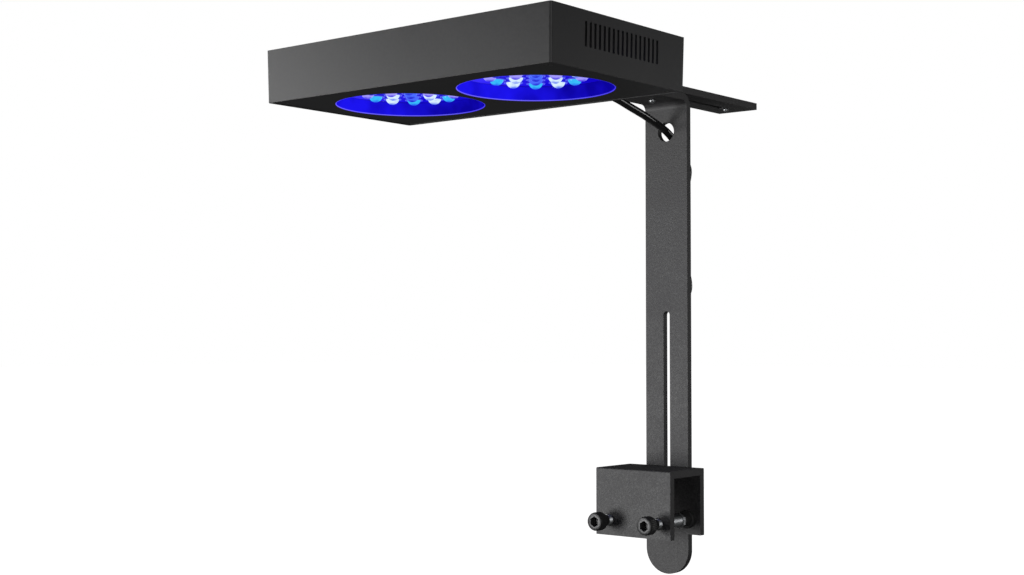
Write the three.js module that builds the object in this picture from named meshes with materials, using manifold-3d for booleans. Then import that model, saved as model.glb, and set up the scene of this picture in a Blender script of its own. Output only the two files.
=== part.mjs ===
// LED aquarium light on a clamp arm: a flat light head on a sliding arm bar, an L-shaped post
// with a height slot, and a clamp channel that sits on the tank's glass rim.
// Millimetres, +Z up. X runs along the head, +Y to the back of the tank, away from the head.
// The origin is the middle of the channel's underside, where it rests on the rim.

import * as THREE from "three";
import { mergeVertices } from "three/addons/utils/BufferGeometryUtils.js";
import Module from "manifold-3d";

const wasm = await Module();
wasm.setup();

// ---------------------------------------------------------------- driving dimensions

const GAP = 0.3; // air left between pieces that touch

// clamp channel, an upside-down U of plate
const CLAMP = { halfX: 31.5, front: -22.5, back: 20.9, top: 5, bottom: -42.4, plate: 5 };
const CLAMP_SCREW = { x: 21, z: -31.6, shaftR: 4, headR: 6.5, headFaceY: -39.4, headLength: 8 };
const CLAMP_SOCKET = { acrossFlats: 6.4, depth: 4.2 };
const PAD = { r: 6.4, face: 15.6, thickness: 2.9, hubR: 4.4, hubNear: 6.5, edge: 0.6 };
const JAM_NUT = { acrossFlats: 9.6, thickness: 2.4 };
const LOCK_SCREW = { levels: [-10, -28], shaftR: 2.4, headR: 4.25, headLength: 5, washerR: 6 };

// post, bent from flat bar, with a forward flange under the arm bar
const POST = { halfX: 18, front: 21.2, back: 26.2, tip: -72.9, flangeTop: 274.1, flangeFront: -43 };
const POST_BEND_OUTER = 10;
const POST_SLOT = { halfX: 2.7, low: -37, high: 116.9 };
const CABLE_HOLE = { r: 7, z: 247.8 };
const FLANGE_SCREW = { levels: { rear: 3.8, front: -26.2 }, shaftR: 1.6, headR: 2.6, headLength: 1.8 };

// arm bar, let into the top of the head
const BAR = { halfX: 17, front: -241.9, rear: 123.1, low: 274.4, top: 279.4 };
const BAR_SLOT = { halfX: 2.7, front: -110, rear: 100.5 };
const STOP_SCREW = { y: 104.9, headR: 2.2, headLength: 1.5, shaftR: 1.3 };
const BAR_SCREWS_Y = [-231, -187, -143];
const BAR_SCREW = { headR: 4, shaftR: 2, headDepth: 2.2 };

// light head
const HEAD = { halfX: 113.5, front: -261.9, back: -130.9, low: 246, top: 279.4 };
const HEAD_DRAFT = 0.7; // each side is this much wider at the top
const HEAD_CORNER = 1.4;
const WALL = 2.4;
const ROOF = 2.2;
const HEAD_Y = (HEAD.front + HEAD.back) / 2;
const RECESS_FLOOR = 2;
const VENT = { count: 17, pitch: 4.42, width: 2, low: 259, high: 273.2, y: -195.2 };
const INTAKE = { count: 9, pitch: 5.6, width: 2.6, r: 26 };

// light wells
const WELL = { x: 51.2, r: 48, lip: 50, ceilingR: 45.1, ceiling: 254.8, wall: 1.2 };
const PLATE = { thickness: 1.8, inset: 0.3 };
const LENS = { domeR: 4.6, root: 0.8, sheet: 1.6, turn: 8.5, rings: [[1, 0], [6, 13.8], [12, 27.6]] };
const LED_BOARD = { r: 44.5, thickness: 1.6 };

// heat sink, fans and driver inside the head
const SINK = { halfX: 98, halfY: 50, low: 259, base: 2.4, fins: 13, finHeight: 4.2, finWidth: 1.6 };
const FAN = { x: 65, half: 30, low: 266.4, top: 276.6, boreR: 27.6, hubR: 11, blades: 7 };
const DRIVER = { halfX: 26, halfY: 44, low: 266.4, board: 1.6, tall: 2.6 };

// power lead
const LEAD_R = 2.75;
const GLAND = { z: 266.4, flangeR: 4.9, neckR: 4.2, boreR: 3.05, tip: -110.6, tipR: 3.7 };
const HANK = { x: -11.2, low: 122, high: 236, front: 31.8, layers: 3, endX: 11, waistX: 2.85 };
const HANK_WAIST_FLAT = 8; // half the length of the hank's narrow middle
const TIE = { halfZ: 6, thickness: 1.2 };
const PLUG = { x: -15.2, y: 53.6, low: 198, relief: 16, body: 22, bodyR: 4.9, barrelR: 2.75, barrel: 9.5 };

const ROUND = 24; // sides of an ordinary round piece

// ---------------------------------------------------------------- finishes

const finish = (color, roughness, metalness) =>
  new THREE.MeshStandardMaterial({ color, roughness, metalness });

const FINISH = {
  powder: finish(0x2b2b2d, 0.55, 0.3),
  housing: finish(0x2a2a2b, 0.5, 0.1),
  blackSteel: finish(0x1a1a1b, 0.4, 0.8),
  steel: finish(0xb9bbbd, 0.3, 1),
  rubber: finish(0x111112, 0.8, 0),
  cable: finish(0x0e0e0f, 0.5, 0),
  blueWell: finish(0x1a0ad8, 0.35, 0),
  lens: finish(0x8fb4ff, 0.1, 0),
  board: finish(0x1f5a33, 0.6, 0),
  whiteBoard: finish(0xe8e8e4, 0.5, 0),
  aluminium: finish(0xb4b6b8, 0.4, 1),
  blackPlastic: finish(0x161617, 0.5, 0),
};

// ---------------------------------------------------------------- solids

function toSolid(geometry) {
  const bare = geometry.index ? geometry.clone() : geometry;
  for (const name of Object.keys(bare.attributes)) {
    if (name !== "position") bare.deleteAttribute(name);
  }
  const merged = mergeVertices(bare, 1e-4);
  return new wasm.Manifold(
    new wasm.Mesh({
      numProp: 3,
      vertProperties: Float32Array.from(merged.attributes.position.array),
      triVerts: Uint32Array.from(merged.index.array),
    }),
  );
}

function toGeometry(solid) {
  const mesh = solid.getMesh();
  const geometry = new THREE.BufferGeometry();
  geometry.setAttribute("position", new THREE.BufferAttribute(mesh.vertProperties.slice(), 3));
  geometry.setIndex(new THREE.BufferAttribute(mesh.triVerts.slice(), 1));
  geometry.computeVertexNormals();
  return geometry;
}

function cut(body, ...tools) {
  return tools.reduce((left, tool) => left.subtract(tool), body);
}

function join(first, ...others) {
  return others.reduce((sum, solid) => sum.add(solid), first);
}

/** A box between two corners. */
function block([x0, y0, z0], [x1, y1, z1]) {
  const geometry = new THREE.BoxGeometry(x1 - x0, y1 - y0, z1 - z0);
  geometry.translate((x0 + x1) / 2, (y0 + y1) / 2, (z0 + z1) / 2);
  return toSolid(geometry);
}

/** A shape in X and Y, raised from one level to another. */
function raised(shape, low, high, curveSegments = 12) {
  const geometry = new THREE.ExtrudeGeometry(shape, {
    depth: high - low,
    bevelEnabled: false,
    curveSegments,
  });
  geometry.translate(0, 0, low);
  return toSolid(geometry);
}

/** A shape drawn in X and Z, with its thickness from one Y to another. */
function upright(shape, nearY, farY, curveSegments = 12) {
  const geometry = new THREE.ExtrudeGeometry(shape, {
    depth: farY - nearY,
    bevelEnabled: false,
    curveSegments,
  });
  geometry.rotateX(Math.PI / 2);
  geometry.translate(0, farY, 0);
  return toSolid(geometry);
}

/** A turned piece about +Z, from [radius, height] pairs that start and end on the axis. */
function turned(profile, sides = ROUND) {
  const points = profile.map(([r, z]) => new THREE.Vector2(r, z));
  const geometry = new THREE.LatheGeometry(points, sides);
  geometry.rotateX(Math.PI / 2);
  return toSolid(geometry);
}

/** The same turned piece with its axis along +Y: heights become Y. */
function turnedAlongY(profile, sides = ROUND) {
  const points = profile.map(([r, y]) => new THREE.Vector2(r, y));
  return toSolid(new THREE.LatheGeometry(points, sides));
}

function rod(r, low, high, sides = ROUND) {
  return turned([[0, low], [r, low], [r, high], [0, high]], sides);
}

function rodAlongY(r, near, far, sides = ROUND) {
  return turnedAlongY([[0, near], [r, near], [r, far], [0, far]], sides);
}

/** A hexagonal prism along +Y, by its width across flats. */
function hexAlongY(acrossFlats, near, far) {
  return rodAlongY(acrossFlats / Math.sqrt(3), near, far, 6);
}

/** A hexagonal prism along +Z, by its width across flats. */
function hex(acrossFlats, low, high) {
  return rod(acrossFlats / Math.sqrt(3), low, high, 6);
}

function rectangle(halfX, nearY, farY, radius) {
  const shape = new THREE.Shape();
  const quarter = Math.PI / 2;
  shape.absarc(halfX - radius, nearY + radius, radius, -quarter, 0, false);
  shape.absarc(halfX - radius, farY - radius, radius, 0, quarter, false);
  shape.absarc(-halfX + radius, farY - radius, radius, quarter, 2 * quarter, false);
  shape.absarc(-halfX + radius, nearY + radius, radius, 2 * quarter, 3 * quarter, false);
  shape.closePath();
  return shape;
}

/** A slot with round ends, along the shape's second axis. */
function slotShape(halfWidth, low, high) {
  const shape = new THREE.Shape();
  shape.absarc(0, high - halfWidth, halfWidth, 0, Math.PI, false);
  shape.absarc(0, low + halfWidth, halfWidth, Math.PI, 2 * Math.PI, false);
  shape.closePath();
  return shape;
}

const object = new THREE.Group();

function place(name, solid, material, x = 0, y = 0, z = 0) {
  const mesh = new THREE.Mesh(toGeometry(solid), material);
  mesh.name = name;
  mesh.position.set(x, y, z);
  object.add(mesh);
  return mesh;
}

// ---------------------------------------------------------------- clamp

function clampChannel() {
  const { halfX, front, back, top, bottom, plate } = CLAMP;
  const outline = new THREE.Shape();
  const corner = 1;
  outline.moveTo(front, bottom);
  outline.lineTo(front + plate, bottom);
  outline.lineTo(front + plate, top - plate);
  outline.lineTo(back - plate, top - plate);
  outline.lineTo(back - plate, bottom);
  outline.lineTo(back, bottom);
  outline.lineTo(back, top - corner);
  outline.absarc(back - corner, top - corner, corner, 0, Math.PI / 2, false);
  outline.absarc(front + corner, top - corner, corner, Math.PI / 2, Math.PI, false);
  outline.closePath();
  const geometry = new THREE.ExtrudeGeometry(outline, {
    depth: 2 * halfX,
    bevelEnabled: false,
    curveSegments: 4,
  });
  geometry.rotateX(Math.PI / 2);
  geometry.rotateZ(Math.PI / 2);
  geometry.translate(-halfX, 0, 0);
  const holes = [-1, 1].map((side) =>
    rodAlongY(CLAMP_SCREW.shaftR + GAP, front - 1, front + plate + 1)
      .translate([side * CLAMP_SCREW.x, 0, CLAMP_SCREW.z]),
  );
  const taps = LOCK_SCREW.levels.map((z) =>
    rodAlongY(LOCK_SCREW.shaftR + GAP, back - plate - 1, back + 1, 16).translate([0, 0, z]),
  );
  return cut(toSolid(geometry), ...holes, ...taps);
}

function clampScrew() {
  const { shaftR, headR, headFaceY, headLength } = CLAMP_SCREW;
  const headBack = headFaceY + headLength;
  const end = PAD.hubNear - GAP;
  const chamfer = 0.7;
  const body = turnedAlongY([
    [0, headFaceY],
    [headR - chamfer, headFaceY],
    [headR, headFaceY + chamfer],
    [headR, headBack],
    [shaftR, headBack],
    [shaftR, end],
    [0, end],
  ]);
  const socket = hexAlongY(CLAMP_SOCKET.acrossFlats, headFaceY - 1, headFaceY + CLAMP_SOCKET.depth);
  return cut(body, socket);
}

function jamNut() {
  const far = PAD.hubNear - 2 * GAP;
  const near = far - JAM_NUT.thickness;
  return cut(
    hexAlongY(JAM_NUT.acrossFlats, near, far),
    rodAlongY(CLAMP_SCREW.shaftR + GAP, near - 1, far + 1),
  );
}

function pressurePad() {
  const { r, face, thickness, hubR, hubNear, edge } = PAD;
  const discNear = face - thickness;
  return turnedAlongY([
    [0, hubNear],
    [hubR - edge, hubNear],
    [hubR, hubNear + edge],
    [hubR, discNear],
    [r - edge, discNear],
    [r, discNear + edge],
    [r, face - edge],
    [r - edge, face],
    [0, face],
  ]);
}

function lockScrew() {
  const { shaftR, headR, headLength } = LOCK_SCREW;
  const seat = POST.back + 1.2 + 2 * GAP;
  const body = turnedAlongY([
    [0, CLAMP.back - CLAMP.plate + 0.6],
    [shaftR, CLAMP.back - CLAMP.plate + 0.6],
    [shaftR, seat],
    [headR, seat],
    [headR, seat + headLength],
    [0, seat + headLength],
  ], 16);
  return cut(body, hexAlongY(4, seat + headLength - 2.6, seat + headLength + 1));
}

function lockWasher() {
  const near = POST.back + GAP;
  return cut(
    rodAlongY(LOCK_SCREW.washerR, near, near + 1.2, 18),
    rodAlongY(LOCK_SCREW.shaftR + GAP, near - 1, near + 3, 16),
  );
}

place("clamp_channel", clampChannel(), FINISH.powder);
for (const [side, label] of [[-1, "left"], [1, "right"]]) {
  const at = [side * CLAMP_SCREW.x, 0, CLAMP_SCREW.z];
  place(`clamp_screw_${label}`, clampScrew(), FINISH.blackSteel, ...at);
  place(`jam_nut_${label}`, jamNut(), FINISH.steel, ...at);
  place(`pressure_pad_${label}`, pressurePad(), FINISH.rubber, ...at);
}
for (const [index, label] of ["upper", "lower"].entries()) {
  const z = LOCK_SCREW.levels[index];
  place(`lock_screw_${label}`, lockScrew(), FINISH.blackSteel, 0, 0, z);
  place(`lock_washer_${label}`, lockWasher(), FINISH.blackSteel, 0, 0, z);
}

// ---------------------------------------------------------------- post

function postBracket() {
  const { halfX, front, back, tip, flangeTop, flangeFront } = POST;
  const thickness = back - front;
  const inner = POST_BEND_OUTER - thickness;
  const bendY = back - POST_BEND_OUTER;
  const bendZ = flangeTop - POST_BEND_OUTER;
  const side = new THREE.Shape();
  side.moveTo(front, tip);
  side.lineTo(back, tip);
  side.absarc(bendY, bendZ, POST_BEND_OUTER, 0, Math.PI / 2, false);
  side.lineTo(flangeFront, flangeTop);
  side.lineTo(flangeFront, flangeTop - thickness);
  side.absarc(bendY, bendZ, inner, Math.PI / 2, 0, true);
  side.closePath();
  const geometry = new THREE.ExtrudeGeometry(side, {
    depth: 2 * halfX,
    bevelEnabled: false,
    curveSegments: 8,
  });
  geometry.rotateX(Math.PI / 2);
  geometry.rotateZ(Math.PI / 2);
  geometry.translate(-halfX, 0, 0);

  const outline = new THREE.Shape();
  outline.moveTo(halfX, flangeTop + 1);
  outline.lineTo(-halfX, flangeTop + 1);
  outline.absarc(0, tip + halfX, halfX, Math.PI, 2 * Math.PI, false);
  outline.closePath();
  const envelope = upright(outline, flangeFront - 1, back + 1, 24);

  const holes = Object.values(FLANGE_SCREW.levels).map((y) =>
    rod(FLANGE_SCREW.shaftR + GAP, flangeTop - thickness - 1, flangeTop + 1, 16)
      .translate([0, y, 0]),
  );
  return cut(
    toSolid(geometry).intersect(envelope),
    upright(slotShape(POST_SLOT.halfX, POST_SLOT.low, POST_SLOT.high), front - 1, back + 1, 8),
    rodAlongY(CABLE_HOLE.r, front - 1, back + 1, 32).translate([0, 0, CABLE_HOLE.z]),
    ...holes,
  );
}

const FLANGE_LOW = POST.flangeTop - (POST.back - POST.front);
const NUT = { acrossFlats: 6, thickness: 2.6, washerR: 3.9, washer: 0.8 };

function flangeScrew() {
  const { shaftR, headR, headLength } = FLANGE_SCREW;
  const seat = FLANGE_LOW - GAP;
  const end = BAR.top + NUT.washer + NUT.thickness + 1.4;
  const body = turned([
    [0, seat - headLength],
    [headR * 0.55, seat - headLength],
    [headR * 0.88, seat - headLength * 0.62],
    [headR, seat],
    [shaftR, seat],
    [shaftR, end],
    [0, end],
  ], 16);
  return cut(body, hex(1.6, seat - headLength - 1, seat - headLength + 1));
}

function flangeWasher() {
  const low = BAR.top + GAP;
  return cut(
    rod(NUT.washerR, low, low + NUT.washer, 18),
    rod(FLANGE_SCREW.shaftR + GAP, low - 1, low + 3, 16),
  );
}

function flangeNut() {
  const low = BAR.top + NUT.washer + 2 * GAP;
  return cut(
    hex(NUT.acrossFlats, low, low + NUT.thickness),
    rod(FLANGE_SCREW.shaftR + GAP, low - 1, low + NUT.thickness + 1, 16),
  );
}

place("post_bracket", postBracket(), FINISH.powder);
for (const [label, y] of Object.entries(FLANGE_SCREW.levels)) {
  place(`flange_screw_${label}`, flangeScrew(), FINISH.steel, 0, y, 0);
  place(`flange_washer_${label}`, flangeWasher(), FINISH.blackSteel, 0, y, 0);
  place(`flange_nut_${label}`, flangeNut(), FINISH.blackSteel, 0, y, 0);
}

// ---------------------------------------------------------------- arm bar

function armBar() {
  const { halfX, front, rear, low, top } = BAR;
  const slot = slotShape(BAR_SLOT.halfX, BAR_SLOT.front, BAR_SLOT.rear);
  const sinks = BAR_SCREWS_Y.map((y) =>
    turned([
      [0, low - 1],
      [BAR_SCREW.shaftR + GAP, low - 1],
      [BAR_SCREW.shaftR + GAP, top - BAR_SCREW.headDepth - GAP],
      [BAR_SCREW.headR + GAP, top - GAP],
      [BAR_SCREW.headR + GAP, top + 1],
      [0, top + 1],
    ], 20).translate([0, y, 0]),
  );
  return cut(
    raised(rectangle(halfX, front, rear, 0.6), low, top, 2),
    raised(slot, low - 1, top + 1, 8),
    rod(STOP_SCREW.shaftR + GAP, low - 1, top + 1, 12).translate([0, STOP_SCREW.y, 0]),
    ...sinks,
  );
}

function barScrew() {
  const { headR, shaftR, headDepth } = BAR_SCREW;
  const top = BAR.top - GAP;
  const end = BAR.low - RECESS_FLOOR - 0.4;
  const body = turned([
    [0, end],
    [shaftR, end],
    [shaftR, top - headDepth],
    [headR, top - 0.2],
    [headR, top],
    [0, top],
  ], 16);
  return cut(body, hex(2.5, top - 1.6, top + 1));
}

function stopScrew() {
  const { headR, headLength, shaftR } = STOP_SCREW;
  const seat = BAR.low - GAP;
  const body = turned([
    [0, seat - headLength],
    [headR * 0.5, seat - headLength],
    [headR * 0.87, seat - headLength * 0.6],
    [headR, seat],
    [shaftR, seat],
    [shaftR, BAR.top - 0.2],
    [0, BAR.top - 0.2],
  ], 16);
  return cut(body, hex(1.4, seat - headLength - 1, seat - headLength + 0.9));
}

place("arm_bar", armBar(), FINISH.powder);
for (const [index, y] of BAR_SCREWS_Y.entries()) {
  place(`bar_screw_${index + 1}`, barScrew(), FINISH.blackSteel, 0, y, 0);
}
place("stop_screw", stopScrew(), FINISH.steel, 0, STOP_SCREW.y, 0);

// ---------------------------------------------------------------- light head

/** A box whose sides lean out towards the top, by the head's draft. */
function drafted(inset, low, high) {
  const grow = (z) => (HEAD_DRAFT * (z - HEAD.low)) / (HEAD.top - HEAD.low) - inset;
  const halfY = (HEAD.back - HEAD.front) / 2;
  const radius = Math.max(HEAD_CORNER - inset, 0.4);
  const shape = rectangle(HEAD.halfX + grow(low), -halfY - grow(low), halfY + grow(low), radius);
  const geometry = new THREE.ExtrudeGeometry(shape, {
    depth: high - low,
    bevelEnabled: false,
    curveSegments: 4,
  });
  const position = geometry.attributes.position;
  const lean = grow(high) - grow(low);
  for (let i = 0; i < position.count; i += 1) {
    if (position.getZ(i) > 0) {
      position.setX(i, position.getX(i) + Math.sign(position.getX(i)) * lean);
      position.setY(i, position.getY(i) + Math.sign(position.getY(i)) * lean);
    }
  }
  geometry.translate(0, HEAD_Y, low);
  return toSolid(geometry);
}

function ventSlots(side) {
  const slots = [];
  for (let i = 0; i < VENT.count; i += 1) {
    const y = VENT.y + (i - (VENT.count - 1) / 2) * VENT.pitch;
    const reach = [side * (HEAD.halfX - WALL - 1), side * (HEAD.halfX + 3)].sort((a, b) => a - b);
    slots.push(
      block([reach[0], y - VENT.width / 2, VENT.low], [reach[1], y + VENT.width / 2, VENT.high]),
    );
  }
  return slots;
}

function intakeSlots(side) {
  const slots = [];
  for (let i = 0; i < INTAKE.count; i += 1) {
    const offset = (i - (INTAKE.count - 1) / 2) * INTAKE.pitch;
    const half = Math.sqrt(INTAKE.r ** 2 - offset ** 2);
    const x = side * FAN.x + offset;
    slots.push(
      block(
        [x - INTAKE.width / 2, HEAD_Y - half, HEAD.top - ROOF - 1],
        [x + INTAKE.width / 2, HEAD_Y + half, HEAD.top + 1],
      ),
    );
  }
  return slots;
}

const RECESS = { halfX: BAR.halfX + GAP, front: BAR.front - GAP, low: BAR.low - GAP };

function housing() {
  const cavityTop = HEAD.top - ROOF;
  const cavity = drafted(WALL, HEAD.low - 1, cavityTop);
  const channelFloor = RECESS.low - RECESS_FLOOR;
  const channel = block(
    [-RECESS.halfX - RECESS_FLOOR, RECESS.front - RECESS_FLOOR, channelFloor],
    [RECESS.halfX + RECESS_FLOOR, HEAD.back, cavityTop + 1],
  );
  const shell = join(cut(drafted(0, HEAD.low, HEAD.top), cavity), channel);
  const recess = block([-RECESS.halfX, RECESS.front, RECESS.low], [RECESS.halfX, 0, HEAD.top + 1]);
  const screwHoles = BAR_SCREWS_Y.map((y) =>
    rod(BAR_SCREW.shaftR + GAP, channelFloor - 1, RECESS.low + 1, 16).translate([0, y, 0]),
  );
  const glandHole = rodAlongY(GLAND.neckR + GAP, HEAD.back - WALL - 2, HEAD.back + 2, 24)
    .translate([0, 0, GLAND.z]);
  return cut(
    shell,
    recess,
    glandHole,
    ...screwHoles,
    ...ventSlots(-1),
    ...ventSlots(1),
    ...intakeSlots(-1),
    ...intakeSlots(1),
  );
}

const PLATE_TOP = HEAD.low + PLATE.inset + PLATE.thickness;
const PLATE_SCREW = { x: 105.6, y: 57.6, headR: 2.6, shaftR: 1.4 };

function facePlate() {
  const low = HEAD.low + PLATE.inset;
  const halfX = HEAD.halfX - WALL - PLATE.inset;
  const halfY = (HEAD.back - HEAD.front) / 2 - WALL - PLATE.inset;
  const outline = rectangle(halfX, HEAD_Y - halfY, HEAD_Y + halfY, 0.6);
  const wells = [-1, 1].map((side) =>
    rod(WELL.r, low - 1, PLATE_TOP + 1, 48).translate([side * WELL.x, HEAD_Y, 0]),
  );
  const screws = plateScrewPlaces().map(([x, y]) =>
    turned([
      [0, low - 1],
      [PLATE_SCREW.headR + GAP, low - 1],
      [PLATE_SCREW.headR + GAP, low + 0.2],
      [PLATE_SCREW.shaftR + GAP, low + 1.3],
      [PLATE_SCREW.shaftR + GAP, PLATE_TOP + 1],
      [0, PLATE_TOP + 1],
    ], 12).translate([x, y, 0]),
  );
  return cut(raised(outline, low, PLATE_TOP, 2), ...wells, ...screws);
}

function plateScrewPlaces() {
  return [[-1, -1], [1, -1], [1, 1], [-1, 1]].map(([sx, sy]) => [
    sx * PLATE_SCREW.x,
    HEAD_Y + sy * PLATE_SCREW.y,
  ]);
}

function plateScrew() {
  const { headR, shaftR } = PLATE_SCREW;
  const low = HEAD.low + PLATE.inset;
  const body = turned([
    [0, low],
    [headR, low],
    [headR, low + 0.2],
    [shaftR, low + 1.3],
    [shaftR, low + 7],
    [0, low + 7],
  ], 12);
  return cut(body, hex(1.6, low - 1, low + 0.8));
}

function reflector() {
  const { r, lip, ceilingR, ceiling, wall } = WELL;
  const low = PLATE_TOP + GAP;
  return turned([
    [r - 0.3, low],
    [lip, low],
    [lip, low + 1],
    [r + wall, low + 1],
    [ceilingR + wall, ceiling],
    [ceilingR, ceiling],
    [r - 0.3, low],
  ], 40);
}

/** Half a ball under the lens sheet, rooted in the sheet. */
function lensDome() {
  const profile = [];
  const steps = 3;
  for (let step = 0; step <= steps; step += 1) {
    const tilt = (step / steps) * (Math.PI / 2);
    profile.push([LENS.domeR * Math.sin(tilt), -LENS.domeR * Math.cos(tilt)]);
  }
  profile.push([LENS.domeR, LENS.root], [0, LENS.root]);
  return turned(profile, 8);
}

function lensArray() {
  const low = WELL.ceiling + GAP;
  const sheet = rod(WELL.ceilingR + WELL.wall, low, low + LENS.sheet, 32);
  const domes = [];
  for (const [count, ringR] of LENS.rings) {
    for (let i = 0; i < count; i += 1) {
      const angle = THREE.MathUtils.degToRad(LENS.turn) + (2 * Math.PI * i) / count;
      domes.push(
        lensDome().translate([ringR * Math.cos(angle), ringR * Math.sin(angle), low]),
      );
    }
  }
  return join(sheet, ...domes);
}

const BOARD_LOW = WELL.ceiling + LENS.sheet + 2 * GAP;

function ledBoard() {
  return rod(LED_BOARD.r, BOARD_LOW, BOARD_LOW + LED_BOARD.thickness, 32);
}

function heatSink() {
  const { halfX, halfY, low, base, fins, finHeight, finWidth } = SINK;
  const parts = [];
  for (let i = 0; i < fins; i += 1) {
    const y = HEAD_Y - halfY + finWidth / 2 + (i * (2 * halfY - finWidth)) / (fins - 1);
    parts.push(
      block([-halfX, y - finWidth / 2, low + base - 0.5], [halfX, y + finWidth / 2, low + base + finHeight]),
    );
  }
  return join(block([-halfX, HEAD_Y - halfY, low], [halfX, HEAD_Y + halfY, low + base]), ...parts);
}

function fanFrame() {
  const { half, low, top, boreR, hubR } = FAN;
  const web = 1.4;
  const bore = rod(boreR, low + web, top + 1, 28);
  const mouth = rod(boreR, low - 1, low + web + 1, 28);
  const spokes = [];
  for (let i = 0; i < 3; i += 1) {
    const geometry = new THREE.BoxGeometry(boreR + 2, 3, web);
    geometry.translate((boreR + 2) / 2, 0, low + web / 2);
    geometry.rotateZ((i * 2 * Math.PI) / 3 + 0.3);
    spokes.push(toSolid(geometry));
  }
  const square = raised(rectangle(half, -half, half, 3), low, top, 4);
  return join(cut(square, bore, mouth), rod(hubR, low, low + web, 16), ...spokes);
}

function fanRotor() {
  const { low, top, boreR, hubR, blades } = FAN;
  const base = low + 1.4 + GAP;
  const cap = top - 0.6;
  const span = boreR - 1 - hubR;
  const bladeSolids = [];
  for (let i = 0; i < blades; i += 1) {
    const geometry = new THREE.BoxGeometry(span + 1.5, 9, 1.1);
    geometry.rotateX(0.55);
    geometry.translate(hubR - 1.5 + (span + 1.5) / 2, 0, (base + cap) / 2);
    geometry.rotateZ((i * 2 * Math.PI) / blades);
    bladeSolids.push(toSolid(geometry));
  }
  return join(rod(hubR, base, cap, 16), ...bladeSolids);
}

function driverBoard() {
  const { halfX, halfY, low, board, tall } = DRIVER;
  const top = low + board;
  const part = (x, y, w, d, h) =>
    block([x - w / 2, HEAD_Y + y - d / 2, top - 0.4], [x + w / 2, HEAD_Y + y + d / 2, top + h]);
  return join(
    block([-halfX, HEAD_Y - halfY, low], [halfX, HEAD_Y + halfY, top]),
    part(-14, 30, 12, 12, tall),
    part(8, 28, 14, 10, tall - 0.4),
    part(-12, 2, 16, 10, tall),
    part(12, -4, 10, 16, tall - 0.8),
    part(-2, -30, 20, 8, tall - 0.2),
  );
}

place("housing", housing(), FINISH.housing);
place("face_plate", facePlate(), FINISH.housing);
place("heat_sink", heatSink(), FINISH.aluminium);
place("driver_board", driverBoard(), FINISH.board);
for (const [side, label] of [[-1, "left"], [1, "right"]]) {
  const wellX = side * WELL.x;
  place(`reflector_${label}`, reflector(), FINISH.blueWell, wellX, HEAD_Y, 0);
  place(`lens_array_${label}`, lensArray(), FINISH.lens, wellX, HEAD_Y, 0);
  place(`led_board_${label}`, ledBoard(), FINISH.whiteBoard, wellX, HEAD_Y, 0);
  place(`fan_frame_${label}`, fanFrame(), FINISH.blackPlastic, side * FAN.x, HEAD_Y, 0);
  place(`fan_rotor_${label}`, fanRotor(), FINISH.blackPlastic, side * FAN.x, HEAD_Y, 0);
}
for (const [index, [x, y]] of plateScrewPlaces().entries()) {
  place(`plate_screw_${index + 1}`, plateScrew(), FINISH.blackSteel, x, y, 0);
}

// ---------------------------------------------------------------- power lead

/** A round tube along points that start at the exit; the section has eight to twelve sides. */
function tube(points, steps, radius = LEAD_R, sides = 8) {
  const section = new THREE.Shape();
  for (let i = 0; i < sides; i += 1) {
    const angle = (i * 2 * Math.PI) / sides;
    const method = i === 0 ? "moveTo" : "lineTo";
    section[method](radius * Math.cos(angle), radius * Math.sin(angle));
  }
  section.closePath();
  const path = new THREE.CatmullRomCurve3(points.map((point) => new THREE.Vector3(...point)));
  return toSolid(
    new THREE.ExtrudeGeometry(section, { steps, bevelEnabled: false, extrudePath: path }),
  );
}

const HANK_MIDDLE = (HANK.high + HANK.low) / 2;
const HANK_RUN = (HANK.high - HANK.low) / 2 - HANK.endX - LEAD_R; // half a run's length

/** Half the distance between the hank's two bundles of runs, at a height from its middle. */
function hankSpread(height) {
  const share = (Math.abs(height) - HANK_WAIST_FLAT) / (HANK_RUN - HANK_WAIST_FLAT);
  return HANK.waistX + (HANK.endX - HANK.waistX) * THREE.MathUtils.smoothstep(share, 0, 1);
}

function leadHank() {
  const outline = new THREE.Shape();
  const steps = 10;
  outline.absarc(0, HANK_MIDDLE + HANK_RUN, HANK.endX + LEAD_R, 0, Math.PI, false);
  for (let i = 1; i < 2 * steps; i += 1) {
    const height = HANK_RUN * (1 - i / steps);
    outline.lineTo(-hankSpread(height) - LEAD_R, HANK_MIDDLE + height);
  }
  outline.absarc(0, HANK_MIDDLE - HANK_RUN, HANK.endX + LEAD_R, Math.PI, 2 * Math.PI, false);
  for (let i = 1; i < 2 * steps; i += 1) {
    const height = -HANK_RUN * (1 - i / steps);
    outline.lineTo(hankSpread(height) + LEAD_R, HANK_MIDDLE + height);
  }
  outline.closePath();
  return upright(outline, HANK.front, HANK.front + HANK.layers * 2 * LEAD_R, 10);
}

const HANK_BACK = HANK.front + HANK.layers * 2 * LEAD_R;

function hankTie() {
  const inner = HANK.waistX + LEAD_R + GAP;
  const near = HANK.front - GAP;
  const far = HANK_BACK + 2 * GAP + 2 * LEAD_R;
  const low = HANK_MIDDLE - TIE.halfZ;
  const high = HANK_MIDDLE + TIE.halfZ;
  return cut(
    raised(rectangle(inner + TIE.thickness, near - TIE.thickness, far + TIE.thickness, 2), low, high, 5),
    raised(rectangle(inner, near, far, 1), low - 1, high + 1, 4),
  );
}

function gland() {
  const { flangeR, neckR, boreR, tip, tipR } = GLAND;
  const wallFace = HEAD.back + HEAD_DRAFT + GAP;
  const inside = HEAD.back - WALL - 1.4;
  return turnedAlongY([
    [boreR, inside],
    [neckR, inside],
    [neckR, wallFace],
    [flangeR, wallFace],
    [flangeR, wallFace + 2.2],
    [flangeR - 0.6, wallFace + 3],
    [tipR, tip],
    [boreR, tip],
    [boreR, inside],
  ], 16);
}

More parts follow.
